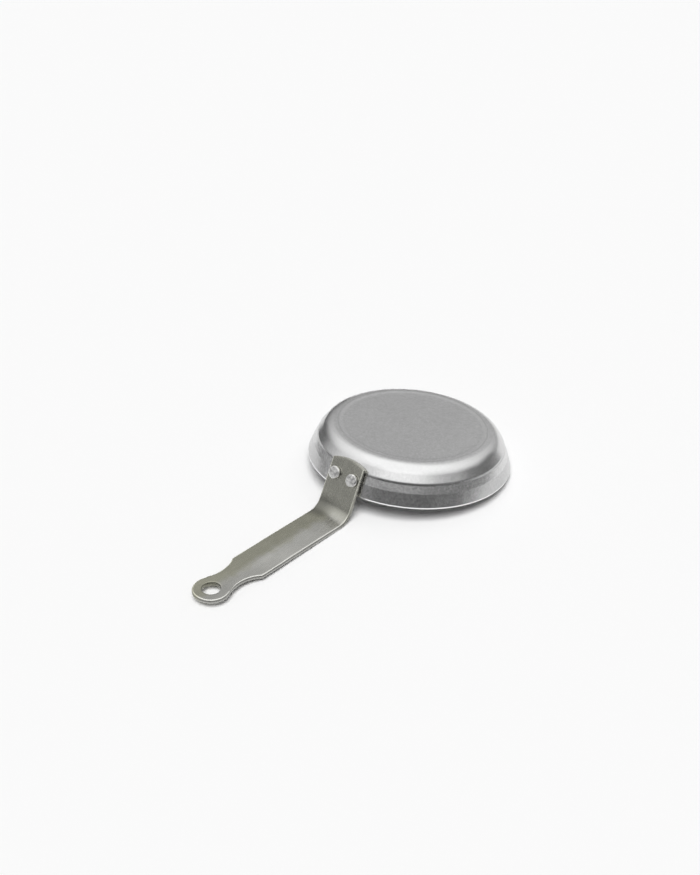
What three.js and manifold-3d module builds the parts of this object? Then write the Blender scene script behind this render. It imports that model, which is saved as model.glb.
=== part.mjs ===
// A small blini pan of pressed steel, lying mouth down on its rim and on the bend of its riveted handle
import * as THREE from 'three';
import { mergeVertices } from 'three/addons/utils/BufferGeometryUtils.js';
import Module from 'manifold-3d';

// Driving dimensions in millimetres and degrees. Heights are measured from the plane of the rim,
// with the pan mouth down, so the base is the highest face

// Pan body, one sheet pressed to a cup with a sloping wall, a small step, a shoulder and a flared brim.
// Slopes are measured from the pan's axis
const sheet = 2;
const rimRadius = 60.1;
const brimHeight = 8.4;
const brimSlope = 19.5;
const shoulderHeight = 4.2;
const shoulderSlope = 25;
const stepHeight = 1.2;
const stepSlope = 16;
const wallHeight = 8.3;
const wallSlope = 36;
const cornerRadius = 10;
const pressRadius = 0.6;

// Handle, one strip whose foot lies on the top edge of the brim, bent past the rim into the grip.
// Distances along the foot are measured from that edge
const stripWidth = 22.9;
const stripThickness = 2.5;
const footSlope = 21;
const footRise = 10.7;
const footEndRadius = 28;
const footDrop = 23.5;
const bendRadius = 9;
const gripSlope = 4.5;
const gripLength = 94.5;
const ridgeHeight = 1.1;
const ridgeRounding = 0.2;
const ridgeStart = -7;
const ridgeRun = 11;
const ridgeFade = 42;
const eyeRadius = 10.2;
const eyeHoleRadius = 5.05;
const neckWidth = 14.6;
const neckRadius = 23;

// Rivets, a pair side by side through the foot and the wall
const rivetRise = 0.3;
const rivetSpacing = 12.7;
const shankRadius = 2.5;
const headRadius = 3.75;
const headHeight = 2;
const headCrown = 0.3;
const headRounding = 0.5;
const innerHeadRadius = 4;
const innerHeadHeight = 2.2;
const innerHeadCrown = 1.1;

// Clearances
const seatGap = 0.3;
const shankClearance = 0.15;

// Finishes
const panFinish = { color: 0xa6a7a8, roughness: 0.32, metalness: 1 };
const handleFinish = { color: 0x85857b, roughness: 0.4, metalness: 1 };
const rivetFinish = { color: 0xc9c9c6, roughness: 0.5, metalness: 1 };

// Fineness of the facets, reach of a cutting tool past what it cuts, and search for the resting lean
const panSides = 96;
const rivetSides = 28;
const holeSides = 32;
const arcStep = 15;
const gripSteps = 26;
const acrossSteps = 12;
const toolReach = 5;
const weldDistance = 1e-4;
const leanSteps = 50;
const steepestLean = 45;

const radians = THREE.MathUtils.degToRad;
const brimAngle = radians(brimSlope);
const footAngle = radians(footSlope);
const gripAngle = radians(gripSlope);

const wasm = await Module();
wasm.setup();

// Solid for boolean work from any closed geometry
function solidOf(geometry) {
  geometry.deleteAttribute('normal');
  geometry.deleteAttribute('uv');
  const welded = mergeVertices(geometry, weldDistance);
  const corners = welded.index.array;
  const triangles = [];
  for (let i = 0; i < corners.length; i += 3) {
    const [a, b, c] = corners.slice(i, i + 3);
    if (a !== b && b !== c && c !== a) triangles.push(a, b, c);
  }
  return new wasm.Manifold(new wasm.Mesh({
    numProp: 3,
    vertProperties: new Float32Array(welded.attributes.position.array),
    triVerts: new Uint32Array(triangles),
  }));
}

// Mesh of a finished solid
function meshOf(name, solid, finish) {
  const faces = solid.getMesh();
  const geometry = new THREE.BufferGeometry();
  geometry.setAttribute('position', new THREE.BufferAttribute(faces.vertProperties, 3));
  geometry.setIndex(new THREE.BufferAttribute(faces.triVerts, 1));
  geometry.computeVertexNormals();
  const mesh = new THREE.Mesh(geometry, new THREE.MeshStandardMaterial(finish));
  mesh.name = name;
  return mesh;
}

// Left-hand normal of a direction in the plane
function normalOf(direction) {
  return new THREE.Vector2(-direction.y, direction.x);
}

// Directions of the stretches between points
function directionsOf(points) {
  return points.slice(1).map((point, i) => point.clone().sub(points[i]).normalize());
}

// Line of points with each inner corner rounded, sampled as points with their normals
function roundedLine(points, radii) {
  const directions = directionsOf(points);
  const samples = [{ point: points[0], normal: normalOf(directions[0]) }];
  for (let i = 1; i < points.length - 1; i += 1) {
    const before = directions[i - 1];
    const turn = Math.atan2(before.cross(directions[i]), before.dot(directions[i]));
    const side = Math.sign(turn);
    const radius = radii[i - 1];
    const start = points[i].clone().addScaledVector(before, -radius * Math.tan(Math.abs(turn) / 2));
    const centre = start.addScaledVector(normalOf(before), side * radius);
    const steps = Math.ceil(Math.abs(turn) / radians(arcStep));
    for (let k = 0; k <= steps; k += 1) {
      const normal = normalOf(before).rotateAround(new THREE.Vector2(), turn * k / steps);
      samples.push({ point: centre.clone().addScaledVector(normal, -side * radius), normal });
    }
  }
  samples.push({ point: points.at(-1), normal: normalOf(directions.at(-1)) });
  return samples;
}

// Corners of the line that runs beside another at a distance, to the left where it is positive
function besideLine(points, distance) {
  const normals = directionsOf(points).map(normalOf);
  return points.map((point, i) => {
    const before = normals[Math.max(i - 1, 0)];
    const after = normals[Math.min(i, normals.length - 1)];
    const mitre = before.clone().add(after).multiplyScalar(distance / (1 + before.dot(after)));
    return point.clone().add(mitre);
  });
}

// Heights and radii of the pressed sheet's outside. The brim is drawn on to the plane of the rim,
// past the full round of the sheet's edge
const creaseHeight = brimHeight + shoulderHeight;
const stepTop = creaseHeight + stepHeight;
const panHeight = stepTop + wallHeight;
const rimRounding = sheet / 2;
const brimEndRadius = rimRadius - rimRounding + rimRounding * (1 + Math.sin(brimAngle)) / Math.cos(brimAngle);
const brimTopRadius = brimEndRadius - brimHeight * Math.tan(brimAngle);
const creaseRadius = brimTopRadius - shoulderHeight * Math.tan(radians(shoulderSlope));
const stepTopRadius = creaseRadius - stepHeight * Math.tan(radians(stepSlope));
const cornerReach = stepTopRadius - wallHeight * Math.tan(radians(wallSlope));

// Turned solid of the pan's sheet, made thicker by a margin on both faces
function panSheet(margin) {
  const outside = [
    new THREE.Vector2(0, panHeight),
    new THREE.Vector2(cornerReach, panHeight),
    new THREE.Vector2(stepTopRadius, stepTop),
    new THREE.Vector2(creaseRadius, creaseHeight),
    new THREE.Vector2(brimTopRadius, brimHeight),
    new THREE.Vector2(brimEndRadius, 0),
  ];
  const outer = besideLine(outside, margin);
  const inner = besideLine(outside, -sheet - margin);
  const rimWidth = (sheet + 2 * margin) / Math.cos(brimAngle);
  const rimEdge = outer.at(-1);
  inner[inner.length - 1] = new THREE.Vector2(rimEdge.x - rimWidth, rimEdge.y);
  const tight = pressRadius - margin;
  const wide = pressRadius + sheet + margin;
  const outerRadii = [cornerRadius + margin, wide, tight, wide];
  const innerRadii = [cornerRadius - sheet - margin, tight, wide, tight];
  const rimRadii = [rimRounding + margin, rimRounding + margin];
  const radii = [...outerRadii, ...rimRadii, ...innerRadii.reverse()];
  const profile = roundedLine([...outer, ...inner.reverse()], radii);
  const points = profile.map(({ point }) => point).reverse();
  const lathe = new THREE.LatheGeometry(points, panSides, Math.PI / panSides);
  return solidOf(lathe.rotateX(Math.PI / 2));
}

// Frame of the foot on the top edge of the brim: across the handle, up the foot and out of it
const acrossAxis = new THREE.Vector3(0, 1, 0);
const footUp = new THREE.Vector3(-Math.sin(footAngle), 0, Math.cos(footAngle));
const footOut = new THREE.Vector3(Math.cos(footAngle), 0, Math.sin(footAngle));
const footFrame = new THREE.Matrix4().makeBasis(acrossAxis, footUp, footOut);
footFrame.setPosition(brimTopRadius, 0, brimHeight);

// Round bar along a rivet's axis, from one distance out of the brim's edge to another
function rivetBar(across, radius, from, to) {
  const bar = new THREE.CylinderGeometry(radius, radius, to - from, rivetSides);
  bar.rotateX(Math.PI / 2).translate(across, rivetRise, (from + to) / 2);
  return solidOf(bar.applyMatrix4(footFrame));
}

// Distances out of the brim's edge, along a rivet's axis, of the faces that it joins
const footInside = seatGap;
const footOutside = seatGap + stripThickness;
const wallCurve = brimTopRadius - Math.sqrt(brimTopRadius ** 2 - (rivetSpacing / 2) ** 2);
const wallInside = -(sheet + wallCurve);
const rivetPlaces = [-rivetSpacing / 2, rivetSpacing / 2];

function rivetHole(across) {
  const reach = toolReach + shoulderHeight;
  return rivetBar(across, shankRadius + shankClearance, wallInside - reach, footOutside + reach);
}

function makePanBody() {
  const solid = rivetPlaces.reduce((body, across) => body.subtract(rivetHole(across)), panSheet(0));
  return meshOf('pan_body', solid, panFinish);
}

// Middle of the handle's strip, seen from the side
function stripMiddle() {
  const out = footInside + stripThickness / 2;
  const onFoot = (up) => new THREE.Vector2(
    brimTopRadius + up * footUp.x + out * footOut.x,
    brimHeight + up * footUp.z + out * footOut.z,
  );
  const along = new THREE.Vector2(Math.cos(gripAngle), -Math.sin(gripAngle));
  const corner = onFoot(-footDrop);
  const end = corner.clone().addScaledVector(along, gripLength + eyeRadius + toolReach);
  return { top: onFoot(footRise + toolReach), corner, end, along };
}

// How far the middle of the grip is pressed up above its edges, at a distance from the bend
function ridgeAt(distance) {
  const eyeStart = gripLength - eyeRadius;
  const rise = THREE.MathUtils.smoothstep(distance, ridgeStart, ridgeStart + ridgeRun);
  const fall = THREE.MathUtils.smoothstep(distance, eyeStart - ridgeFade, eyeStart);
  return ridgeHeight * rise * (1 - fall);
}

// Share of the ridge's height at a share of the half width: two slopes with a rounded crest
function ridgeShape(share) {
  const slope = (place) => Math.hypot(place, ridgeRounding) - ridgeRounding;
  return 1 - slope(share) / slope(1);
}

// Closed solid through rings of points, each ring out along one face of the strip and back along the other
function loft(rings) {
  const count = rings[0].length;
  const last = (rings.length - 1) * count;
  const triangles = [];
  for (let i = 0; i < last; i += count) {
    for (let k = 0; k < count; k += 1) {
      const a = i + k;
      const b = i + (k + 1) % count;
      triangles.push(a, b, a + count, b, b + count, a + count);
    }
  }
  for (let k = 1; k < count / 2; k += 1) {
    const back = count - k;
    triangles.push(k - 1, back, k, k, back, back - 1);
    triangles.push(last + k - 1, last + k, last + back, last + k, last + back - 1, last + back);
  }
  const geometry = new THREE.BufferGeometry().setFromPoints(rings.flat());
  geometry.setIndex(triangles);
  return solidOf(geometry);
}

// Untrimmed strip, bent at the rim and ridged along the grip
function bentStrip() {
  const { top, corner, end, along } = stripMiddle();
  const stations = roundedLine([top, corner, end], [bendRadius + stripThickness / 2]);
  const gripEnd = stations.pop();
  const gripStart = stations.at(-1);
  for (let i = 1; i <= gripSteps; i += 1) {
    const point = gripStart.point.clone().lerp(gripEnd.point, i / gripSteps);
    stations.push({ point, normal: gripEnd.normal });
  }
  const rings = stations.map(({ point, normal }) => {
    const ridge = ridgeAt(point.clone().sub(corner).dot(along));
    const face = (offset) => Array.from({ length: acrossSteps + 1 }, (_, k) => {
      const share = 2 * k / acrossSteps - 1;
      const raise = offset + ridge * ridgeShape(share);
      const place = point.clone().addScaledVector(normal, raise);
      return new THREE.Vector3(place.x, share * stripWidth / 2, place.y);
    });
    return [...face(-stripThickness / 2), ...face(stripThickness / 2).reverse()];
  });
  return loft(rings);
}

// Plan of the grip: straight sides, a concave neck on each side and the round eye with its hole
function gripPlan() {
  const half = stripWidth / 2 + toolReach;
  const neckCentre = neckWidth / 2 + neckRadius;
  const reach = neckRadius + eyeRadius;
  const neckAlong = gripLength - Math.sqrt(reach ** 2 - neckCentre ** 2);
  const eyeTouch = Math.atan2(neckCentre, neckAlong - gripLength);
  const neckTouch = Math.atan2(-neckCentre, gripLength - neckAlong);
  const neckStart = -Math.PI + Math.asin((neckCentre - half) / neckRadius);
  const shape = new THREE.Shape();
  shape.moveTo(-gripLength, half);
  shape.lineTo(-gripLength, -half);
  shape.absarc(neckAlong, -neckCentre, neckRadius, -neckStart, -neckTouch, true);
  shape.absarc(gripLength, 0, eyeRadius, -eyeTouch, eyeTouch, false);
  shape.absarc(neckAlong, neckCentre, neckRadius, neckTouch, neckStart, true);
  const hole = new THREE.Path();
  hole.absarc(gripLength, 0, eyeHoleRadius, 0, 2 * Math.PI, true);
  shape.holes.push(hole);
  return shape;
}

// Tool that trims the strip to the grip's plan
function gripTrim() {
  const { corner, along } = stripMiddle();
  const reach = footRise + footDrop + 2 * toolReach;
  const gripAxis = new THREE.Vector3(along.x, 0, along.y);
  const upAxis = gripAxis.clone().cross(acrossAxis);
  const frame = new THREE.Matrix4().makeBasis(gripAxis, acrossAxis, upAxis);
  frame.setPosition(corner.x, 0, corner.y);
  const sides = { depth: 2 * reach, bevelEnabled: false, curveSegments: holeSides };
  const tool = new THREE.ExtrudeGeometry(gripPlan(), sides);
  return solidOf(tool.translate(0, 0, -reach).applyMatrix4(frame));
}

// Tool that leaves the foot's end as a rounded edge
function footTrim() {
  const half = stripWidth / 2 + toolReach;
  const depth = stripThickness + 2 * toolReach;
  const centre = footRise - footEndRadius;
  const sweep = Math.asin(half / footEndRadius);
  const shape = new THREE.Shape();
  shape.absarc(0, centre, footEndRadius, Math.PI / 2 + sweep, Math.PI / 2 - sweep, true);
  shape.lineTo(half, footRise + 2 * toolReach);
  shape.lineTo(-half, footRise + 2 * toolReach);
  const tool = new THREE.ExtrudeGeometry(shape, { depth, bevelEnabled: false, curveSegments: holeSides });
  return solidOf(tool.translate(0, 0, footInside - toolReach).applyMatrix4(footFrame));
}

function makeHandle() {
  const trimmed = bentStrip().intersect(gripTrim()).subtract(footTrim());
  const solid = rivetPlaces.reduce((strip, across) => strip.subtract(rivetHole(across)), trimmed);
  return meshOf('handle', solid, handleFinish);
}

// Head turned about the rivet's axis: a flat underside, a straight flank and a crowned face
function rivetHead(across, from, radius, height, crown, outward) {
  const flank = height - crown;
  const corners = [
    new THREE.Vector2(0, 0),
    new THREE.Vector2(radius, 0),
    new THREE.Vector2(radius, flank),
    new THREE.Vector2(0, height),
  ];
  const edge = roundedLine(corners.slice(1), [headRounding]).map(({ point }) => point);
  const head = new THREE.LatheGeometry([corners[0], ...edge], rivetSides);
  head.rotateX(outward > 0 ? Math.PI / 2 : -Math.PI / 2).translate(across, rivetRise, from);
  return solidOf(head.applyMatrix4(footFrame));
}

// Rivet with its made head outside the foot and its low head inside, set down on the curved wall
function makeRivet(name, across) {
  const outsideSeat = footOutside + seatGap;
  const shank = rivetBar(across, shankRadius, wallInside - innerHeadHeight / 2, outsideSeat + headHeight / 2);
  const outerHead = rivetHead(across, outsideSeat, headRadius, headHeight, headCrown, 1);
  const blank = rivetHead(across, wallInside, innerHeadRadius, innerHeadHeight, innerHeadCrown, -1);
  const innerHead = blank.subtract(panSheet(seatGap));
  return meshOf(name, outerHead.add(shank).add(innerHead), rivetFinish);
}

const panBody = makePanBody();
const handle = makeHandle();
const rivets = rivetPlaces.map((across, i) => makeRivet(['rivet_left', 'rivet_right'][i], across));

// Lowest height that a piece reaches on one side when the pan leans by an angle
function lowestHeight(mesh, lean, isOnSide) {
  const place = new THREE.Vector3();
  const vertices = mesh.geometry.attributes.position;
  let lowest = Infinity;
  for (let i = 0; i < vertices.count; i += 1) {
    place.fromBufferAttribute(vertices, i);
    if (isOnSide(place)) lowest = Math.min(lowest, place.x * Math.sin(lean) + place.z * Math.cos(lean));
  }
  return lowest;
}

// Lean at which the far side of the rim and the handle both rest on the floor
function restingLean() {
  let low = 0;
  let high = radians(steepestLean);
  for (let i = 0; i < leanSteps; i += 1) {
    const lean = (low + high) / 2;
    const rim = lowestHeight(panBody, lean, ({ x }) => x < 0);
    const strip = lowestHeight(handle, lean, () => true);
    if (strip < rim) low = lean;
    else high = lean;
  }
  return high;
}

const leaning = new THREE.Group();
leaning.add(panBody, handle, ...rivets);
leaning.rotation.y = -restingLean();

// The handle points to -X, and the box of the whole pan stands centred on the floor
const facing = new THREE.Group();
facing.add(leaning);
facing.rotation.z = Math.PI;
const box = new THREE.Box3().setFromObject(facing, true);
const middle = box.getCenter(new THREE.Vector3());
facing.position.set(-middle.x, -middle.y, -box.min.z);

const bliniPan = new THREE.Group();
bliniPan.add(facing);

export default bliniPan;
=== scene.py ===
"""A small blini pan of pressed steel, lying mouth down on a white table."""
import math

import bmesh
import bpy
from mathutils import Matrix, Vector


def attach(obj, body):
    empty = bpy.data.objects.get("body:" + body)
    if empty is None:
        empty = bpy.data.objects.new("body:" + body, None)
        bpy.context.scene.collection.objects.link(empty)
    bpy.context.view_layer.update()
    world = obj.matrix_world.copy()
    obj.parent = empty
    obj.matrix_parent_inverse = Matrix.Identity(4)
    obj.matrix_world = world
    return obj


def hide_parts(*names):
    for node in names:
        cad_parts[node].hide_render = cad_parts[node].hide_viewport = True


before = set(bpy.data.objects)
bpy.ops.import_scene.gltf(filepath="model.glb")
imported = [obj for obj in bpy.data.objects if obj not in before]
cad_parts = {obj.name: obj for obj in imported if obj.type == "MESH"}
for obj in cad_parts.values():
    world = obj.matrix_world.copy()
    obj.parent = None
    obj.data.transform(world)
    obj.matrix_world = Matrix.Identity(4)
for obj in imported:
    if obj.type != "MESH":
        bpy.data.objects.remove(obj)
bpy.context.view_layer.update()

MM = 0.001
radians = math.radians

# Sizes of the pan in millimetres and degrees. Heights run from the plane of the rim to the base
SHEET = 2.0
RIM_RADIUS = 60.05
BRIM_HEIGHT, BRIM_SLOPE = 8.4, 19.5
SHOULDER_HEIGHT, SHOULDER_SLOPE = 4.2, 25.0
STEP_HEIGHT, STEP_SLOPE = 1.2, 16.0
WALL_HEIGHT, WALL_SLOPE = 8.23, 36.0
CORNER_RADIUS = 10.0
PRESS_RADIUS = 0.9
BASE_SINK, BASE_EDGE, BASE_SLOPE, BASE_ROUNDING = 0.25, 1.2, 2.6, 18.0
PAN_STEPS, PAN_GUARD = 192, 0.35

# Sizes of the handle, measured along the strip from the top edge of the brim
STRIP_WIDTH, STRIP_THICKNESS = 22.9, 2.49
FOOT_SLOPE, FOOT_RISE, FOOT_DROP, FOOT_END_RADIUS = 21.0, 10.7, 23.5, 28.0
BEND_RADIUS = 9.0
GRIP_SLOPE, GRIP_LENGTH = 4.5, 94.5
RIDGE_HEIGHT, BEND_RIDGE, EYE_RIDGE, RIDGE_ROUNDING = 1.9, 1.1, 0.75, 0.6
RIDGE_START, RIDGE_RUN = -4.0, 10.0
CLIMB_START, CLIMB_END = 4.0, 24.0
DROP_START, FLATTEN_START, FLATTENED = 45.0, 55.0, 0.8
FAR_CROWN_START, FAR_CROWN_END = 2.0, 20.0
EYE_RADIUS, EYE_HOLE = 10.2, 5.05
EYE_RINGS = (8.9, 7.6, 6.3, EYE_HOLE)
EDGE_ROUND, FOOT_EDGE_ROUND, HOLE_EDGE_ROUND = 0.9, 0.15, 0.35
HOLE_MARGIN, HOLE_SHADE_REACH = 0.5, 0.3
NECK_WIDTH, NECK_RADIUS = 14.6, 23.0

# Painted highlight and painted shade as bright and dark lines on the rounded edges, as depths below the face in
# parts of the rounding
HIGHLIGHT_TO, DARK_FROM, DARK_TO = 0.25, 0.6, 1.05

# How finely the strip is divided: rows along it, and shares of its half width across it
FOOT_ROWS, FLAT_ROWS = (0.0, 1.4, 4.2, 8.0), (12.0, 16.0, 20.0, 24.0)
BEND_STEPS, GRIP_ROWS, NECK_ROWS, EYE_STEPS = 16, 24, 14, 28
SHARES = [-1, -0.88, -0.75, -0.5, -0.28, -0.14, 0, 0.14, 0.28, 0.5, 0.75, 0.88, 1]

# Middle of the bend in the frame of the rim: distance from the pan's axis, and height
BEND_PLACE = (67.4, -13.0)

# Sizes of the rivets
RIVET_RISE, RIVET_SPACING = 0.3, 12.7
SHANK_RADIUS = 2.5
HEAD_RADIUS, HEAD_HEIGHT, HEAD_CROWN, HEAD_ROUNDING = 3.75, 2.0, 0.4, 0.7
INNER_RADIUS, INNER_HEIGHT, INNER_CROWN, INNER_ROUNDING = 4.0, 2.2, 1.1, 0.3
SEAT_ROUNDING, SHANK_ROUNDING = 0.12, 0.1
SEAT_GAP, INNER_CLEARANCE = 0.3, 0.2
RIVET_STEPS, RIVET_GUARD = 56, 0.12

# How the pan leans on the bend of its handle, and where the middle of its rim then is
LEAN = radians(6.33112095854217)
RIM_MIDDLE = Vector((56.649, 0.0, 6.519)) * MM
PAN_TURN = (0.0, -LEAN, math.pi)


# Outlines as lists of points in a plane

def rounded(points, radii, step):
    """Line with its inner corners rounded, as points at most one angle step apart."""
    line = [Vector(points[0])]
    for i in range(1, len(points) - 1):
        corner = Vector(points[i])
        before = (corner - Vector(points[i - 1])).normalized()
        after = (Vector(points[i + 1]) - corner).normalized()
        turn = math.atan2(before.x * after.y - before.y * after.x, before.dot(after))
        side = math.copysign(1.0, turn)
        radius = radii[i - 1]
        left = Vector((-before.y, before.x))
        start = corner - before * radius * math.tan(abs(turn) / 2)
        middle = start + left * side * radius
        count = max(1, math.ceil(abs(turn) / radians(step)))
        for k in range(count + 1):
            arm = Matrix.Rotation(turn * k / count, 2) @ (-left * side * radius)
            line.append(middle + arm)
    line.append(Vector(points[-1]))
    return line


def beside(points, distance):
    """Corners of the line that runs beside another at a distance to its left."""
    points = [Vector(p) for p in points]
    normals = []
    for a, b in zip(points, points[1:]):
        along = (b - a).normalized()
        normals.append(Vector((-along.y, along.x)))
    line = []
    for i, point in enumerate(points):
        before = normals[max(i - 1, 0)]
        after = normals[min(i, len(normals) - 1)]
        line.append(point + (before + after) * distance / (1 + before.dot(after)))
    return line


def with_guards(line, reach):
    """Line with a point put close to each end of its long stretches, which keeps flat faces flat in the shading."""
    guarded = [line[0]]
    for a, b in zip(line, line[1:]):
        length = (b - a).length
        if length > 3 * reach:
            guarded.append(a.lerp(b, reach / length))
            guarded.append(b.lerp(a, reach / length))
        guarded.append(b)
    return guarded


# Work in edit mode

def start_point(name, place):
    """New object in edit mode with one selected vertex."""
    bpy.ops.object.select_all(action="DESELECT")
    bpy.ops.mesh.primitive_plane_add(size=MM, location=(0, 0, 0))
    piece = bpy.context.object
    piece.name = name
    piece.data.name = name
    bpy.ops.object.mode_set(mode="EDIT")
    bpy.ops.mesh.select_mode(type="VERT")
    bpy.ops.mesh.select_all(action="SELECT")
    bpy.ops.mesh.merge(type="CENTER")
    bpy.ops.transform.translate(value=place)
    return piece


def draw_line(name, places):
    """New object in edit mode, a line extruded from place to place and all selected."""
    piece = start_point(name, places[0])
    for a, b in zip(places, places[1:]):
        bpy.ops.mesh.extrude_region_move(TRANSFORM_OT_translate={"value": b - a})
    bpy.ops.mesh.select_all(action="SELECT")
    return piece


def pick(piece, wanted):
    """Selects the vertices that a test wants, and the edges and faces between them."""
    mesh = bmesh.from_edit_mesh(piece.data)
    mesh.select_mode = {"VERT"}
    for part in (mesh.faces, mesh.edges, mesh.verts):
        for item in part:
            item.select = False
    for vertex in mesh.verts:
        vertex.select = bool(wanted(vertex))
    mesh.select_flush_mode()
    bmesh.update_edit_mesh(piece.data)


def turned(name, outline, steps):
    """Piece spun about its upright axis from an outline of radii and heights."""
    piece = draw_line(name, [Vector((p.x, 0, p.y)) * MM for p in outline])
    bpy.ops.mesh.spin(steps=steps, angle=2 * math.pi, center=(0, 0, 0), axis=(0, 0, 1))
    bpy.ops.mesh.select_all(action="SELECT")
    bpy.ops.mesh.remove_doubles(threshold=0.002 * MM)
    bpy.ops.mesh.normals_make_consistent(inside=False)
    bpy.ops.object.mode_set(mode="OBJECT")
    return piece


def choose(piece):
    """Makes a piece the active one, and the only one selected."""
    bpy.ops.object.select_all(action="DESELECT")
    bpy.context.view_layer.objects.active = piece
    piece.select_set(True)


def settle(piece, *places):
    """Moves a finished piece through places given as turn and location, each put into its mesh."""
    choose(piece)
    for turn, location in places:
        piece.rotation_euler = turn
        piece.location = location
        bpy.ops.object.transform_apply(location=True, rotation=True, scale=True)


def smooth(piece, angle):
    """Shades a piece smooth, apart from edges sharper than an angle."""
    choose(piece)
    bpy.ops.object.shade_smooth_by_angle(angle=radians(angle))


# Pan body

brim_angle = radians(BRIM_SLOPE)
rim_round = SHEET / 2
brim_end = RIM_RADIUS - rim_round + rim_round * (1 + math.sin(brim_angle)) / math.cos(brim_angle)
brim_top = brim_end - BRIM_HEIGHT * math.tan(brim_angle)
crease_height = BRIM_HEIGHT + SHOULDER_HEIGHT
crease_radius = brim_top - SHOULDER_HEIGHT * math.tan(radians(SHOULDER_SLOPE))
step_height = crease_height + STEP_HEIGHT
step_radius = crease_radius - STEP_HEIGHT * math.tan(radians(STEP_SLOPE))
pan_height = step_height + WALL_HEIGHT
corner_reach = step_radius - WALL_HEIGHT * math.tan(radians(WALL_SLOPE))
base_radius = corner_reach - CORNER_RADIUS * math.tan(radians(90 - WALL_SLOPE) / 2)


def make_pan_body():
    outside = [
        (0.0, pan_height),
        (corner_reach, pan_height),
        (step_radius, step_height),
        (crease_radius, crease_height),
        (brim_top, BRIM_HEIGHT),
        (brim_end, 0.0),
    ]
    inside = beside(outside, -SHEET)
    inside[-1] = Vector((brim_end - SHEET / math.cos(brim_angle), 0.0))
    wide = PRESS_RADIUS + SHEET
    outer_radii = [CORNER_RADIUS, wide, PRESS_RADIUS, wide]
    inner_radii = [CORNER_RADIUS - SHEET, PRESS_RADIUS, wide, PRESS_RADIUS]
    # The rim's two roundings stay a little under half the sheet, so that they don't run into each other
    radii = outer_radii + [rim_round * 0.999] * 2 + inner_radii[::-1]
    outline = rounded([Vector(p) for p in outside] + inside[::-1], radii, 6)
    ring = base_radius - BASE_EDGE
    sunk = [(0.0, pan_height - BASE_SINK), (ring - BASE_SLOPE, pan_height - BASE_SINK), (ring, pan_height)]
    outline = rounded([Vector(p) for p in sunk] + [outline[1]], [BASE_ROUNDING] * 2, 1) + outline[2:]
    outline = with_guards(outline, PAN_GUARD)
    pan = turned("pan-shell", outline, PAN_STEPS)
    settle(pan, (PAN_TURN, RIM_MIDDLE))
    smooth(pan, 40)
    return pan


# Handle

middle_radius = BEND_RADIUS + STRIP_THICKNESS / 2
bend_turn = radians(90 - FOOT_SLOPE - GRIP_SLOPE)
bend_reach = middle_radius * math.tan(bend_turn / 2)
bend_start = FOOT_RISE + FOOT_DROP - bend_reach
bend_end = bend_start + middle_radius * bend_turn
corner_shift = bend_end - bend_reach
half_width = STRIP_WIDTH / 2
eye_middle = corner_shift + GRIP_LENGTH
neck_side = NECK_WIDTH / 2 + NECK_RADIUS
neck_middle = eye_middle - math.sqrt((NECK_RADIUS + EYE_RADIUS) ** 2 - neck_side ** 2)
neck_begin = neck_middle - math.sqrt(NECK_RADIUS ** 2 - (neck_side - half_width) ** 2)
eye_touch = math.atan2(neck_side, neck_middle - eye_middle)
foot_angle = radians(FOOT_SLOPE)
foot_up = Vector((-math.sin(foot_angle), 0, math.cos(foot_angle)))
foot_out = Vector((math.cos(foot_angle), 0, math.sin(foot_angle)))
foot_turn = (0, radians(90 - FOOT_SLOPE), 0)


def eye_arc(share):
    """Point on the eye's outside where the strip's share across meets it."""
    angle = math.pi - share * (math.pi - eye_touch)
    return Vector((eye_middle + EYE_RADIUS * math.cos(angle), EYE_RADIUS * math.sin(angle)))


def strip_rows():
    """Rows of points across the flat strip, from the end of the foot to the eye."""
    rows = []
    for along in FOOT_ROWS:
        keep = max(0.0, 1 - along / FOOT_ROWS[-1])
        bow = [FOOT_END_RADIUS - math.sqrt(FOOT_END_RADIUS ** 2 - (s * half_width) ** 2) for s in SHARES]
        rows.append([Vector((along + keep * b, s * half_width)) for s, b in zip(SHARES, bow)])
    stops = [*FLAT_ROWS]
    stops += [bend_start + (bend_end - bend_start) * k / BEND_STEPS for k in range(BEND_STEPS + 1)]
    stops += [bend_end + (neck_begin - bend_end) * k / GRIP_ROWS for k in range(1, GRIP_ROWS + 1)]
    rows += [[Vector((along, s * half_width)) for s in SHARES] for along in stops]
    touch = eye_arc(1.0)
    start_angle = math.atan2(half_width - neck_side, neck_begin - neck_middle)
    end_angle = math.atan2(touch.y - neck_side, touch.x - neck_middle)
    for k in range(1, NECK_ROWS + 1):
        t = k / NECK_ROWS
        angle = start_angle + (end_angle - start_angle) * t
        side = Vector((neck_middle + NECK_RADIUS * math.cos(angle), neck_side + NECK_RADIUS * math.sin(angle)))
        row = []
        for s in SHARES:
            arc = eye_arc(s)
            along = side.x + t * (arc.x - touch.x)
            across = (1 - t) * s * side.y + t * arc.y * side.y / touch.y
            row.append(Vector((along, across)))
        rows.append(row)
    return rows


def lay_rows(piece, rows):
    """Extrudes the selected line of points from row to row, moving each point to its place."""
    for before, after in zip(rows, rows[1:]):
        bpy.ops.mesh.extrude_region_move(TRANSFORM_OT_translate={"value": (0, 0, 0)})
        moves = [(b - a) * MM for a, b in zip(before, after)]
        if max((m - moves[0]).length for m in moves) < 1e-9:
            bpy.ops.transform.translate(value=(*moves[0], 0))
            continue
        mesh = bmesh.from_edit_mesh(piece.data)
        fresh = [v for v in mesh.verts if v.select]
        order = [min(fresh, key=lambda v: (v.co.xy - a * MM).length).index for a in before]
        for index, move in zip(order, moves):
            mesh = bmesh.from_edit_mesh(piece.data)
            mesh.verts.ensure_lookup_table()
            for vertex in mesh.verts:
                vertex.select = vertex.index == index
            mesh.select_flush_mode()
            bpy.ops.transform.translate(value=(*move, 0))
        mesh = bmesh.from_edit_mesh(piece.data)
        chosen = set(order)
        for vertex in mesh.verts:
            vertex.select = vertex.index in chosen
        mesh.select_flush_mode()
        bmesh.update_edit_mesh(piece.data)


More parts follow.
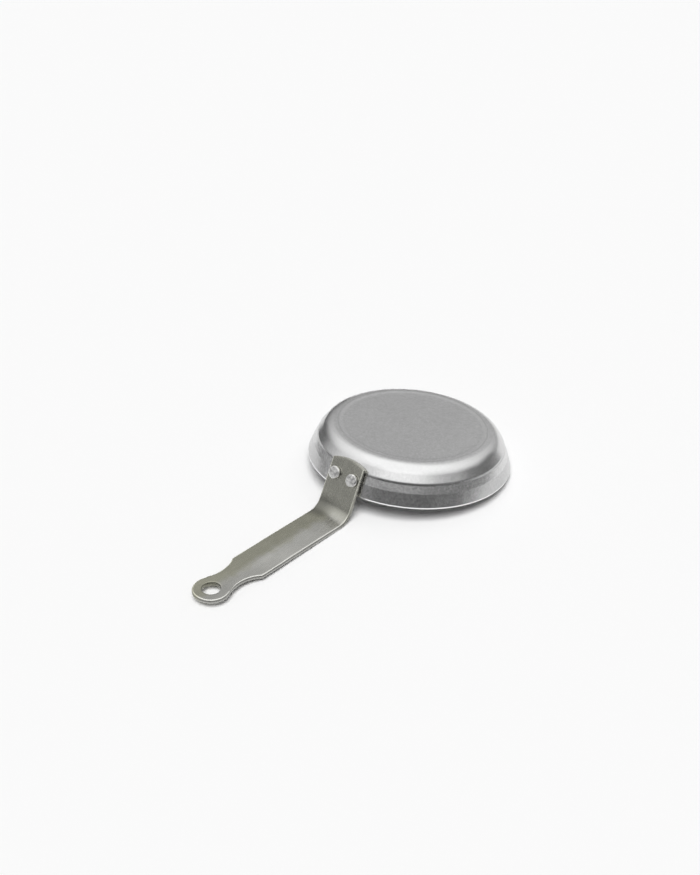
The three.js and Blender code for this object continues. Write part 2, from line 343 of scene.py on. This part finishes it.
def ease(value, low, high):
    t = min(max((value - low) / (high - low), 0.0), 1.0)
    return t * t * (3 - 2 * t)


def along_grip(along):
    """Distance from the corner of the bend, measured in the direction of the grip."""
    if along >= bend_end:
        return along - corner_shift
    if along <= bend_start:
        return -(bend_start - along + bend_reach) * math.cos(bend_turn)
    left = bend_turn - (along - bend_start) / middle_radius
    return middle_radius * (math.sin(bend_turn) - math.sin(left)) - bend_reach * math.cos(bend_turn)


def ridge_share(along, across):
    """Share of the ridge's height at a place on the flat strip.

    The far side starts as a flat crown at the bend. Two slopes meet in a crest along the grip.
    """
    distance = along_grip(along)
    grown = BEND_RIDGE * ease(distance, RIDGE_START, RIDGE_START + RIDGE_RUN)
    grown += (RIDGE_HEIGHT - BEND_RIDGE) * ease(distance, CLIMB_START, CLIMB_END)
    dropped = (distance - DROP_START) / (GRIP_LENGTH - DROP_START)
    drop = (RIDGE_HEIGHT - EYE_RIDGE) * min(max(dropped, 0.0), 1.1)
    slope = grown / half_width * (1 - FLATTENED * ease(distance, FLATTEN_START, GRIP_LENGTH))
    slopes = grown - drop - slope * (math.hypot(across, RIDGE_ROUNDING) - RIDGE_ROUNDING)
    crown = grown * (1 - min(abs(across) / half_width, 1.0) ** 4)
    sloped = ease(distance, FAR_CROWN_START, FAR_CROWN_END) if across < 0 else 1.0
    level = crown + (slopes - crown) * sloped
    return max(level, 0.0) / RIDGE_HEIGHT


def bend_strip(piece):
    """Turns the strip beyond each row of the bend, from the last row back to the first."""
    along = [v.co.x / MM for v in piece.data.vertices]
    step = bend_turn / BEND_STEPS
    bpy.ops.object.mode_set(mode="EDIT")
    for k in range(BEND_STEPS, -1, -1):
        row = bend_start + (bend_end - bend_start) * k / BEND_STEPS
        for edge in (-0.01, 0.01):
            if (k == 0 and edge < 0) or (k == BEND_STEPS and edge > 0):
                continue
            pick(piece, lambda vertex: along[vertex.index] > row + edge)
            bpy.ops.transform.rotate(
                value=step / 2, orient_axis="Y", orient_type="GLOBAL", center_override=(row * MM, 0, 0))
    bpy.ops.object.mode_set(mode="OBJECT")


def drop_edges(piece, unwanted):
    """Takes edges that a test of their middle and direction picks out of the selection."""
    mesh = bmesh.from_edit_mesh(piece.data)
    for edge in mesh.edges:
        a, b = (v.co for v in edge.verts)
        if edge.select and unwanted((a + b) / 2, b - a):
            edge.select = False
    mesh.select_flush_mode()
    bmesh.update_edit_mesh(piece.data)


def pick_sharp(angle):
    """Selects the edges at which faces meet at more than an angle."""
    bpy.ops.mesh.select_mode(type="EDGE")
    bpy.ops.mesh.select_all(action="DESELECT")
    bpy.ops.mesh.edges_select_sharp(sharpness=radians(angle))


def make_handle():
    rows = strip_rows()
    handle = draw_line("strip-handle", [Vector((*p, 0)) * MM for p in rows[0]])
    lay_rows(handle, rows)
    eye = Vector((eye_middle, 0, 0)) * MM

    def from_eye(spot):
        return (spot - eye).xy.length / MM

    radius = EYE_RADIUS
    for ring in EYE_RINGS:
        bpy.ops.mesh.extrude_region_move(TRANSFORM_OT_translate={"value": (0, 0, 0)})
        bpy.ops.transform.resize(value=(ring / radius, ring / radius, 1), center_override=eye)
        radius = ring
    spoke = Vector((math.cos(eye_touch), math.sin(eye_touch), 0))
    spots = [eye + spoke * r * MM for r in (EYE_RADIUS, *EYE_RINGS)]
    pick(handle, lambda vertex: min((vertex.co - spot).length for spot in spots) < 0.01 * MM)
    bpy.ops.mesh.spin(steps=EYE_STEPS, angle=2 * eye_touch, center=eye, axis=(0, 0, 1))
    bpy.ops.mesh.select_all(action="SELECT")
    bpy.ops.mesh.remove_doubles(threshold=0.01 * MM)
    bpy.ops.mesh.normals_make_consistent(inside=False)
    bpy.ops.object.mode_set(mode="OBJECT")

    thick = handle.modifiers.new("thickness", "SOLIDIFY")
    thick.thickness = STRIP_THICKNESS * MM
    thick.offset = 0
    bpy.ops.object.modifier_apply(modifier="thickness")

    bpy.ops.object.mode_set(mode="EDIT")
    pick_sharp(60)
    drop_edges(handle, lambda middle, along: abs(along.y) > abs(along.x) and middle.x < 4 * MM)
    drop_edges(handle, lambda middle, along: abs(along.z) > abs(along.x) + abs(along.y))
    drop_edges(handle, lambda middle, along: from_eye(middle) < EYE_HOLE + HOLE_MARGIN)
    bpy.ops.mesh.bevel(offset=EDGE_ROUND * MM, segments=5, affect="EDGES")
    mesh = bmesh.from_edit_mesh(handle.data)
    # Painted highlight high on the rounded edges and painted shade lower on them, on the upper side, kept on each
    # vertex.
    wear = mesh.verts.layers.float.new("wear")
    for vertex in mesh.verts:
        depth = STRIP_THICKNESS / 2 - vertex.co.z / MM
        if vertex.select and 0.01 < depth < HIGHLIGHT_TO * EDGE_ROUND:
            vertex[wear] = 1.0
        if vertex.select and DARK_FROM * EDGE_ROUND < depth < DARK_TO * EDGE_ROUND:
            vertex[wear] = -1.0
    bmesh.update_edit_mesh(handle.data)
    pick_sharp(50)
    drop_edges(handle, lambda middle, along: from_eye(middle) < EYE_HOLE + HOLE_MARGIN)
    bpy.ops.mesh.bevel(offset=FOOT_EDGE_ROUND * MM, segments=3, affect="EDGES")
    pick_sharp(50)
    drop_edges(handle, lambda middle, along: from_eye(middle) > EYE_HOLE + HOLE_MARGIN)
    bpy.ops.mesh.bevel(offset=HOLE_EDGE_ROUND * MM, segments=3, affect="EDGES")
    mesh = bmesh.from_edit_mesh(handle.data)
    wear = mesh.verts.layers.float["wear"]
    # Painted shade in and round the eye's hole.
    for vertex in mesh.verts:
        if from_eye(vertex.co) < EYE_HOLE + HOLE_SHADE_REACH:
            vertex[wear] = -1.0
    bmesh.update_edit_mesh(handle.data)
    bpy.ops.mesh.select_mode(type="VERT")
    bpy.ops.mesh.select_all(action="SELECT")
    bpy.ops.mesh.normals_make_consistent(inside=False)
    bpy.ops.object.mode_set(mode="OBJECT")

    group = handle.vertex_groups.new(name="ridge")
    for vertex in handle.data.vertices:
        group.add([vertex.index], ridge_share(vertex.co.x / MM, vertex.co.y / MM), "REPLACE")
    ridge = handle.modifiers.new("ridge", "DISPLACE")
    ridge.direction = "Z"
    ridge.mid_level = 0
    ridge.strength = RIDGE_HEIGHT * MM
    ridge.vertex_group = "ridge"
    bpy.ops.object.modifier_apply(modifier="ridge")
    handle.vertex_groups.clear()

    bend_strip(handle)
    edge = Vector((brim_top, 0, BRIM_HEIGHT))
    place = edge + foot_up * FOOT_RISE + foot_out * (SEAT_GAP + STRIP_THICKNESS / 2)
    settle(handle, (foot_turn, place * MM), (PAN_TURN, RIM_MIDDLE))
    smooth(handle, 35)
    return handle


# Rivets

def make_rivets():
    """One rivet spun about its axis, then copied to the other side."""
    seat = SEAT_GAP * 2 + STRIP_THICKNESS
    wall_curve = brim_top - math.sqrt(brim_top ** 2 - (RIVET_SPACING / 2) ** 2)
    inner_seat = -(SHEET + wall_curve) - SEAT_GAP - INNER_CLEARANCE
    inner_end = -(SHEET + wall_curve) - INNER_HEIGHT
    corners = [
        (0.0, seat + HEAD_HEIGHT),
        (HEAD_RADIUS, seat + HEAD_HEIGHT - HEAD_CROWN),
        (HEAD_RADIUS, seat),
        (SHANK_RADIUS, seat),
        (SHANK_RADIUS, inner_seat),
        (INNER_RADIUS, inner_seat),
        (INNER_RADIUS, inner_end + INNER_CROWN),
        (0.0, inner_end),
    ]
    radii = [HEAD_ROUNDING, SEAT_ROUNDING, *[SHANK_ROUNDING] * 3, INNER_ROUNDING]
    outline = with_guards(rounded(corners, radii, 15), RIVET_GUARD)
    first = turned("left-rivet", outline, RIVET_STEPS)
    place = Vector((brim_top, -RIVET_SPACING / 2, BRIM_HEIGHT)) + foot_up * RIVET_RISE
    second_place = place.copy()
    second_place.y = RIVET_SPACING / 2
    choose(first)
    bpy.ops.object.duplicate()
    second = bpy.context.object
    second.name = "right-rivet"
    second.data.name = "right-rivet"
    settle(first, (foot_turn, place * MM), (PAN_TURN, RIM_MIDDLE))
    settle(second, (foot_turn, second_place * MM), (PAN_TURN, RIM_MIDDLE))
    for rivet in (first, second):
        smooth(rivet, 40)
    return first, second


# Materials

BLACK, NEAR_BLACK, WHITE = (0.0, 0.0, 0.0, 1.0), (0.02, 0.02, 0.02, 1.0), (1.0, 1.0, 1.0, 1.0)
RIVET_WHITE = (1.0, 0.995, 0.98, 1.0)
# Tints of the handle: more olive on the far half of the grip as painted shade, paler on its near half as painted
# light.
FAR_HALF_SHADE_TINT, NEAR_HALF_LIGHT_TINT = (1.0, 0.99, 0.8, 1.0), (1.0, 0.995, 0.94, 1.0)


class Wire:
    """Value carried by a socket of a material, with plain arithmetic on it."""

    def __init__(self, tree, socket):
        self.tree = tree
        self.socket = socket

    def node(self, kind, settings, sockets, output=0):
        made = self.tree.nodes.new("ShaderNode" + kind)
        for key, value in settings.items():
            if key == "stops":
                ramp = made.color_ramp.elements
                while len(ramp) < len(value):
                    ramp.new(1.0)
                for stop, (place, level) in zip(ramp, value):
                    stop.position = place
                    stop.color = (level, level, level, 1.0)
            else:
                setattr(made, key, value)
        for key, value in sockets.items():
            if isinstance(value, Wire):
                self.tree.links.new(value.socket, made.inputs[key])
            else:
                made.inputs[key].default_value = value
        return Wire(self.tree, made.outputs[output])

    def maths(self, operation, *values):
        return self.node("Math", {"operation": operation}, dict(enumerate(values)))

    def __add__(self, other):
        return self.maths("ADD", self, other)

    __radd__ = __add__

    def __sub__(self, other):
        return self.maths("SUBTRACT", self, other)

    def __rsub__(self, other):
        return self.maths("SUBTRACT", other, self)

    def __mul__(self, other):
        return self.maths("MULTIPLY", self, other)

    __rmul__ = __mul__

    def __truediv__(self, other):
        return self.maths("DIVIDE", self, other)

    def __rtruediv__(self, other):
        return self.maths("DIVIDE", other, self)

    def __pow__(self, other):
        return self.maths("POWER", self, other)

    def __abs__(self):
        return self.maths("ABSOLUTE", self)

    def ramp(self, low, high):
        """From 0 to 1, smoothly, as the value goes from low to high."""
        ends = {"Value": self, "From Min": low, "From Max": high}
        return self.node("MapRange", {"interpolation_type": "SMOOTHSTEP"}, ends)

    def noise(self, scale, detail, rough):
        return self.node("TexNoise", {}, {"Vector": self, "Scale": scale, "Detail": detail, "Roughness": rough})

    def stretched(self, x, y, z):
        return self.node("VectorMath", {"operation": "MULTIPLY"}, {0: self, 1: (x, y, z)})

    def parts(self):
        made = self.node("SeparateXYZ", {}, {"Vector": self})
        sockets = made.socket.node.outputs
        return [Wire(self.tree, s) for s in sockets]


def colour_mix(share, low, high):
    """Colour between two colours."""
    return share.node("Mix", {"data_type": "RGBA"}, {0: share, 6: low, 7: high}, 2)


def new_material(name):
    """Material with its shader, and the places on the piece in the frame of the pan's rim."""
    material = bpy.data.materials.new(name)
    material.use_nodes = True
    tree = material.node_tree
    tree.nodes.clear()
    end = tree.nodes.new("ShaderNodeOutputMaterial")
    shader = tree.nodes.new("ShaderNodeBsdfPrincipled")
    tree.links.new(shader.outputs["BSDF"], end.inputs["Surface"])
    coordinates = tree.nodes.new("ShaderNodeTexCoord")
    place = Wire(tree, coordinates.outputs["Object"])
    frame_of_rim = {"Vector": place, "Location": RIM_MIDDLE, "Rotation": PAN_TURN}
    place = place.node("Mapping", {"vector_type": "TEXTURE"}, frame_of_rim)
    return material, shader, place


def feed(shader, **wires):
    for key, wire in wires.items():
        wire.tree.links.new(wire.socket, shader.inputs[key.replace("_", " ")])


def bump(height, strength, distance):
    return height.node("Bump", {}, {"Height": height, "Strength": strength, "Distance": distance})


def band(value, middle, half, soft):
    """1 within a half width of a middle, falling to 0 over a soft edge."""
    return 1 - abs(value - middle * MM).ramp(half * MM, (half + soft) * MM)


def pan_steel():
    """Satin steel: coarser on the flange, darker on the brim, with painted shade in the hollow turn above the
    shoulder, a painted highlight along the edge between shoulder and brim, bright at the rim partly as polish and
    partly as a painted highlight, and lighter in a ring round the base.
    """
    material, shader, place = new_material("pan steel")
    x, y, height = place.parts()
    radius = (x ** 2 + y ** 2) ** 0.5
    grain = place.noise(900, 3.0, 0.6)
    speckle = place.noise(420, 2.0, 0.5)
    cloud = place.noise(48, 3.0, 0.55)
    brim = 1 - height.ramp((BRIM_HEIGHT - 0.2) * MM, (BRIM_HEIGHT + 0.2) * MM)
    flange = 1 - height.ramp((crease_height - 0.2) * MM, (crease_height + 0.3) * MM)
    # Painted shade: the steel darkens in the hollow turn just above the shoulder, where shade falls.
    painted_crease_shade = band(height, crease_height + 0.45, 0.32, 0.3) * (0.7 + speckle.ramp(0.35, 0.65) * 0.3)
    # Painted highlight: a thin lighter line along the edge between shoulder and brim.
    fold_highlight = band(height, BRIM_HEIGHT, 0.1, 0.3)
    # Bright rim edge, partly polish and partly a painted highlight: its lowest millimetre is made much paler and
    # smoother.
    rim = 1 - height.ramp(1.0 * MM, 1.5 * MM)
    mottle = (grain - 0.5) * 0.3 + (speckle - 0.5) * 0.1
    lower = 1 - height.ramp((step_height + 2) * MM, (step_height + 5) * MM)
    flat = height.ramp((pan_height - 0.5) * MM, (pan_height - 0.3) * MM)
    # A lighter ring just inside the edge of the base.
    base_ring = band(radius, base_radius - 1.9, 0.7, 0.6) * flat
    edge = band(radius, base_radius - 0.1, 0.15, 0.35) * flat
    coarse = 0.3 + flat * 0.45 + lower * 0.4 + flange * 0.9
    tone = 0.66 + mottle * coarse + (cloud - 0.5) * 0.08 + base_ring * 0.05 - edge * 0.045
    # The painted shade above the shoulder, the painted highlight between shoulder and brim and the partly painted
    # highlight at the rim go onto the tone here.
    tone = tone * (1 - brim * 0.17 - painted_crease_shade * 0.38) + fold_highlight * 0.04 + rim * 0.42
    shader.inputs["Metallic"].default_value = 1.0
    feed(shader, Base_Color=colour_mix(tone, BLACK, WHITE))
    feed(shader, Roughness=0.24 + (grain - 0.5) * 0.12 - rim * 0.06)
    feed(shader, Normal=bump(grain, 0.08, 0.04 * MM))
    return material


def handle_steel():
    """Rolled strip with a greenish tint, with painted light on the near half of the grip, painted shade on its far
    half and round the bend, and a painted highlight and painted shade along its rounded edges and round its hole.
    """
    material, shader, place = new_material("handle steel")
    x, across, z = place.parts()
    edge_light_and_shade = place.node("Attribute", {"attribute_name": "wear"}, {}, "Fac")
    streak = place.stretched(0.12, 1, 0.5).noise(700, 3.0, 0.6)
    grain = place.noise(1100, 3.0, 0.6)
    cloud = place.noise(95, 3.0, 0.6)
    grip = x.ramp(66 * MM, 78 * MM)
    # Painted light and shade: the near half of the grip is paler and the far half darker and more olive, as light
    # falls on the two slopes of the ridge.
    near_half_light = ((cloud - 0.5) * 0.012 + across).ramp(-3 * MM, 4 * MM) * grip + (1 - grip) * 0.6
    bend = ((x - BEND_PLACE[0] * MM) ** 2 + (z - BEND_PLACE[1] * MM) ** 2) ** 0.5
    # Painted shade round the bend, full on its far side and a quarter as strong on its near side.
    bend_shade_mask = 1 - bend.ramp(4 * MM, 12 * MM)
    scale = bend_shade_mask * (1 - across.ramp(-7 * MM, 5 * MM) * 0.75)
    tone = 0.41 + (grain - 0.5) * 0.06 + (streak - 0.5) * 0.07 + (cloud - 0.5) * 0.14 + near_half_light * 0.025
    # Painted shade round the bend and on the dark lines of the rounded edges and the hole, and a painted highlight
    # on the bright lines.
    tone = tone * (1 - scale * 0.6 - (0 - edge_light_and_shade).ramp(0.0, 1.0) * 0.42) + edge_light_and_shade.ramp(0.0, 1.0) * 0.22
    half_light_tint = colour_mix(near_half_light, FAR_HALF_SHADE_TINT, NEAR_HALF_LIGHT_TINT)
    feed(shader, Base_Color=half_light_tint.node("VectorMath", {"operation": "SCALE"}, {0: half_light_tint, "Scale": tone}))
    feed(shader, Metallic=1 - edge_light_and_shade.ramp(0.0, 1.0) * 0.5)
    feed(shader, Roughness=0.27 + (streak - 0.5) * 0.08)
    feed(shader, Normal=bump(grain, 0.06, 0.04 * MM))
    return material


def rivet_steel():
    """Pale mottled steel."""
    material, shader, place = new_material("rivet steel")
    grain = place.noise(1500, 3.0, 0.6)
    mottle = place.noise(650, 2.0, 0.6)
    tone = 0.68 + (grain - 0.5) * 0.3 + (mottle - 0.5) * 1.2
    shader.inputs["Metallic"].default_value = 1.0
    feed(shader, Base_Color=colour_mix(tone, NEAR_BLACK, RIVET_WHITE))
    feed(shader, Roughness=0.32 + (mottle - 0.5) * 0.3)
    feed(shader, Normal=bump(mottle, 0.6, 0.15 * MM))
    return material


# Table, light and camera

CAMERA_BEARING, CAMERA_DROP, CAMERA_ROLL = -48.923, 33.135, 0.400
CAMERA_PLACE = Vector((-486.314, -426.564, 470.172)) * MM
CAMERA_LENS, SENSOR_WIDTH = 57.5625, 36.0
LAMP_SIDE, LAMP_TURN, LAMP_SPREAD, LAMP_STRENGTH = -7.0, 30.0, 34.0, 0.913
ROOM_LIGHT, LAMP_HEIGHT = 0.24, 4.0
TABLE_WHITE, TABLE_SIZE = (0.93, 0.93, 0.93, 1), 12.0
CEILING_GLOW, CEILING_SIZE, CEILING_HEIGHT = 1.36, 14.0, 5.0
SCREEN_REACH, SCREEN_STEPS, GLOW_RANGE = 2.4, 12, 2.0

# Screens that the steel mirrors: bearings of both ends from the camera's side, and glow by elevation
SCREENS = (
    ("front-screen", -40, 28, (
        (-0.5, 0.13), (14, 0.13), (22, 0.29), (32, 0.52), (39, 0.88), (46, 1.25), (53, 1.5), (62, 1.5))),
    ("front-right-screen", 28, 62, (
        (-0.5, 0.22), (10, 0.25), (18, 0.22), (26, 0.28), (36, 0.52), (42, 0.9), (48, 1.12), (56, 1.25), (62, 1.3))),
    ("right-front-screen", 62, 92, (
        (-0.5, 0.3), (8, 0.28), (14, 0.17), (20, 0.13), (27, 0.32), (33, 0.62), (40, 1.0), (50, 1.15), (62, 1.3))),
    ("right-screen", 92, 125, (
        (-0.5, 0.3), (8, 0.22), (13, 0.12), (18, 0.18), (23, 0.4),
        (28, 0.68), (35, 0.95), (44, 1.08), (52, 1.18), (62, 1.3))),
    ("right-back-screen", 125, 148, (
        (-0.5, 0.42), (12, 0.52), (24, 0.7), (36, 0.88), (48, 1.05), (62, 1.3))),
    ("back-right-screen", 148, 168, (
        (-0.5, 0.4), (12, 0.5), (30, 0.58), (42, 0.7), (52, 0.88), (62, 1.25))),
    ("back-screen", 168, 192, (
        (-0.5, 0.2), (10, 0.34), (19, 0.5), (34, 0.52), (42, 0.6), (50, 0.85), (57, 1.12), (62, 1.28))),
    ("back-left-screen", 192, 208, (
        (-0.5, 0.2), (10, 0.4), (20, 0.54), (30, 0.68), (40, 0.8), (50, 1.0), (62, 1.3))),
    ("left-back-screen", 208, 235, (
        (-0.5, 0.1), (8, 0.18), (16, 0.36), (24, 0.66), (32, 0.88), (40, 1.02), (50, 1.15), (62, 1.3))),
    ("left-screen", 235, 292, (
        (-0.5, 0.42), (12, 0.4), (20, 0.6), (27, 0.85), (34, 1.02), (42, 1.12), (50, 1.18), (62, 1.3))),
    ("front-left-screen", 292, 320, (
        (-0.5, 0.25), (15, 0.3), (25, 0.45), (35, 0.6), (42, 0.85), (50, 1.2), (62, 1.3))),
)

# Low cards close round the pan: bearings of both ends, elevation of the top, glow and distance
CARDS = (
    ("front-card", -28, 52, 7.0, 0.11, 0.26),
    ("right-card", 52, 118, 6.0, 0.36, 0.24),
    ("left-card", 195, 244, 10.0, 0.11, 0.18),
    ("left-front-card", 244, 270, 8.0, 0.3, 0.2),
)


def plain(name, colour):
    """Matt paint."""
    material = bpy.data.materials.new(name)
    material.use_nodes = True
    shader = material.node_tree.nodes["Principled BSDF"]
    shader.inputs["Base Color"].default_value = colour
    shader.inputs["Roughness"].default_value = 0.9
    shader.inputs["Specular IOR Level"].default_value = 0.0
    return material


def make_table():
    bpy.ops.object.select_all(action="DESELECT")
    bpy.ops.mesh.primitive_plane_add(size=TABLE_SIZE, location=(0, 0, 0))
    table = bpy.context.object
    table.name = "table"
    table.data.materials.append(plain("white table", TABLE_WHITE))


def screen_paint(name, stops):
    """Glow that changes up a screen, given at heights in metres."""
    material = plain(name, BLACK)
    tree = material.node_tree
    shader = tree.nodes["Principled BSDF"]
    coordinates = tree.nodes.new("ShaderNodeTexCoord")
    height = Wire(tree, coordinates.outputs["Object"]).parts()[2]
    bottom, top = stops[0][0], stops[-1][0]
    share = (height - bottom) / (top - bottom)
    levels = [((place - bottom) / (top - bottom), level / GLOW_RANGE) for place, level in stops]
    glow = share.node("ValToRGB", {"stops": levels}, {"Fac": share})
    tree.links.new(glow.socket, shader.inputs["Emission Color"])
    shader.inputs["Emission Strength"].default_value = GLOW_RANGE
    return material


def hide_screen(screen):
    """Screens are for the steel to mirror, and cast no shadow on the table."""
    screen.visible_camera = False
    screen.visible_diffuse = False
    screen.visible_shadow = False


def make_screen(name, start, end, stops, reach=SCREEN_REACH, middle=(0, 0, 0)):
    """Upright screen round a middle between two bearings from the camera's side, with its glow by elevation."""
    stops = [(reach * math.tan(radians(elevation)), level) for elevation, level in stops]
    bottom, top = stops[0][0], stops[-1][0]
    middle = Vector(middle)
    bearing = radians(CAMERA_BEARING + start)
    spot = middle + Vector((math.sin(bearing), -math.cos(bearing), 0)) * reach
    screen = start_point(name, spot + Vector((0, 0, bottom)))
    bpy.ops.mesh.extrude_region_move(TRANSFORM_OT_translate={"value": (0, 0, top - bottom)})
    bpy.ops.mesh.select_all(action="SELECT")
    bpy.ops.mesh.spin(steps=SCREEN_STEPS, angle=radians(start - end), center=middle, axis=(0, 0, 1))
    bpy.ops.object.mode_set(mode="OBJECT")
    screen.data.materials.append(screen_paint(name, stops))
    hide_screen(screen)


def make_lamp():
    turn = Matrix.Rotation(radians(CAMERA_BEARING + LAMP_SIDE), 3, "Z") @ Matrix.Rotation(radians(LAMP_TURN), 3, "X")
    bpy.ops.object.select_all(action="DESELECT")
    bpy.ops.object.light_add(type="SUN", location=(0, 0, LAMP_HEIGHT), rotation=turn.to_euler())
    lamp = bpy.context.object
    lamp.name = "wide front light"
    lamp.data.angle = radians(LAMP_SPREAD)
    lamp.data.energy = LAMP_STRENGTH * math.pi
    lamp.visible_glossy = False


def make_surroundings():
    """Ceiling, screens and cards for the steel to mirror."""
    bpy.ops.object.select_all(action="DESELECT")
    bpy.ops.mesh.primitive_plane_add(size=CEILING_SIZE, location=(0, 0, CEILING_HEIGHT))
    ceiling = bpy.context.object
    ceiling.name = "ceiling"
    ceiling.data.materials.append(screen_paint("ceiling", [(0.0, CEILING_GLOW), (CEILING_HEIGHT, CEILING_GLOW)]))
    hide_screen(ceiling)
    for name, first, last, stops in SCREENS:
        make_screen(name, first, last, stops)
    under_pan = RIM_MIDDLE * Vector((1, 1, 0))
    for name, first, last, top, glow, reach in CARDS:
        make_screen(name, first, last, [(0.0, glow), (top, glow)], reach, under_pan)


def make_room():
    """Even light all round, dimmer on matt surfaces than where it is seen or mirrored."""
    world = bpy.data.worlds.new("room")
    bpy.context.scene.world = world
    world.use_nodes = True
    tree = world.node_tree
    back = tree.nodes["Background"]
    path = tree.nodes.new("ShaderNodeLightPath")
    seen = Wire(tree, path.outputs["Is Camera Ray"]) + Wire(tree, path.outputs["Is Glossy Ray"])
    seen = (seen + Wire(tree, path.outputs["Is Transmission Ray"])).ramp(0.0, 1.0)
    level = ROOM_LIGHT + seen * (1 - ROOM_LIGHT)
    back.inputs["Color"].default_value = WHITE
    tree.links.new(level.socket, back.inputs["Strength"])


def make_camera():
    turn = Matrix.Rotation(radians(CAMERA_BEARING), 3, "Z") @ Matrix.Rotation(radians(90 - CAMERA_DROP), 3, "X")
    turn = turn @ Matrix.Rotation(radians(CAMERA_ROLL), 3, "Z")
    bpy.ops.object.camera_add(location=CAMERA_PLACE, rotation=turn.to_euler())
    camera = bpy.context.object
    camera.data.sensor_width = SENSOR_WIDTH
    camera.data.lens = CAMERA_LENS
    camera.data.clip_start = 0.01
    camera.data.clip_end = 50.0
    bpy.context.scene.camera = camera


body = make_pan_body()
handle = make_handle()
left_rivet, right_rivet = make_rivets()
for piece, node, slot, material in (
    (body, "pan_body", "pan_steel", pan_steel()),
    (handle, "handle", "handle_steel", handle_steel()),
    (left_rivet, "rivet_left", "rivet_steel", rivet_steel()),
    (right_rivet, "rivet_right", "rivet_steel", None),
):
    piece.data.materials.clear()
    piece.data.materials.append(material or left_rivet.data.materials[0])
    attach(piece, "root")
    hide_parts(node)

make_table()
make_lamp()
make_surroundings()
make_room()
make_camera()
bpy.context.scene.view_settings.view_transform = "Standard"
